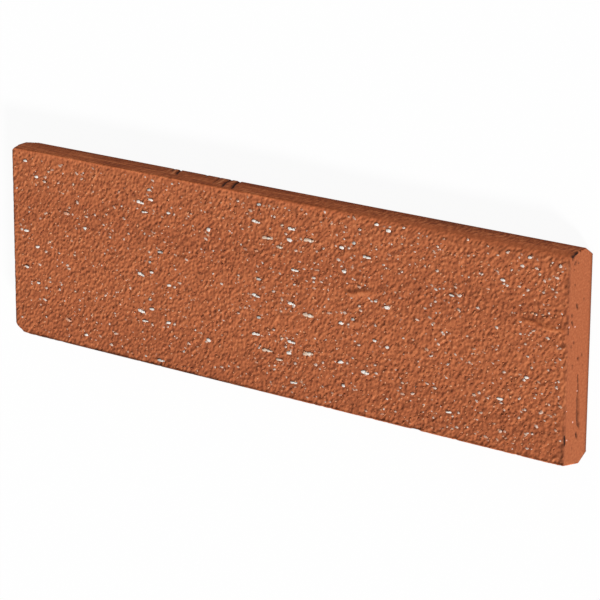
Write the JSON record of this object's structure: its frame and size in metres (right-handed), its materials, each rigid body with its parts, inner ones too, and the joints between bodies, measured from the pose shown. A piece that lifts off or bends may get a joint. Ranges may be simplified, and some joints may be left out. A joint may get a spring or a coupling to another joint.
{
  "type": "brick slip",
  "caption": "Thin fired clay facing slip with a rough speckled face, a plain flat back and chamfered back edges.",
  "frame": {"origin": "middle of the flat back face", "axes": "+X along the length, to the right as the face is seen; +Y across the course height, up as the slip is laid; +Z out of the rough face"},
  "size_m": [0.24, 0.071, 0.014],
  "materials": {
    "fired_clay": "matt unglazed terracotta red clay, rough face with pale grog chips, smooth sanded sides and back"
  },
  "bodies": {
    "root": {"brick_slip": "fired_clay"}
  },
  "joints": []
}
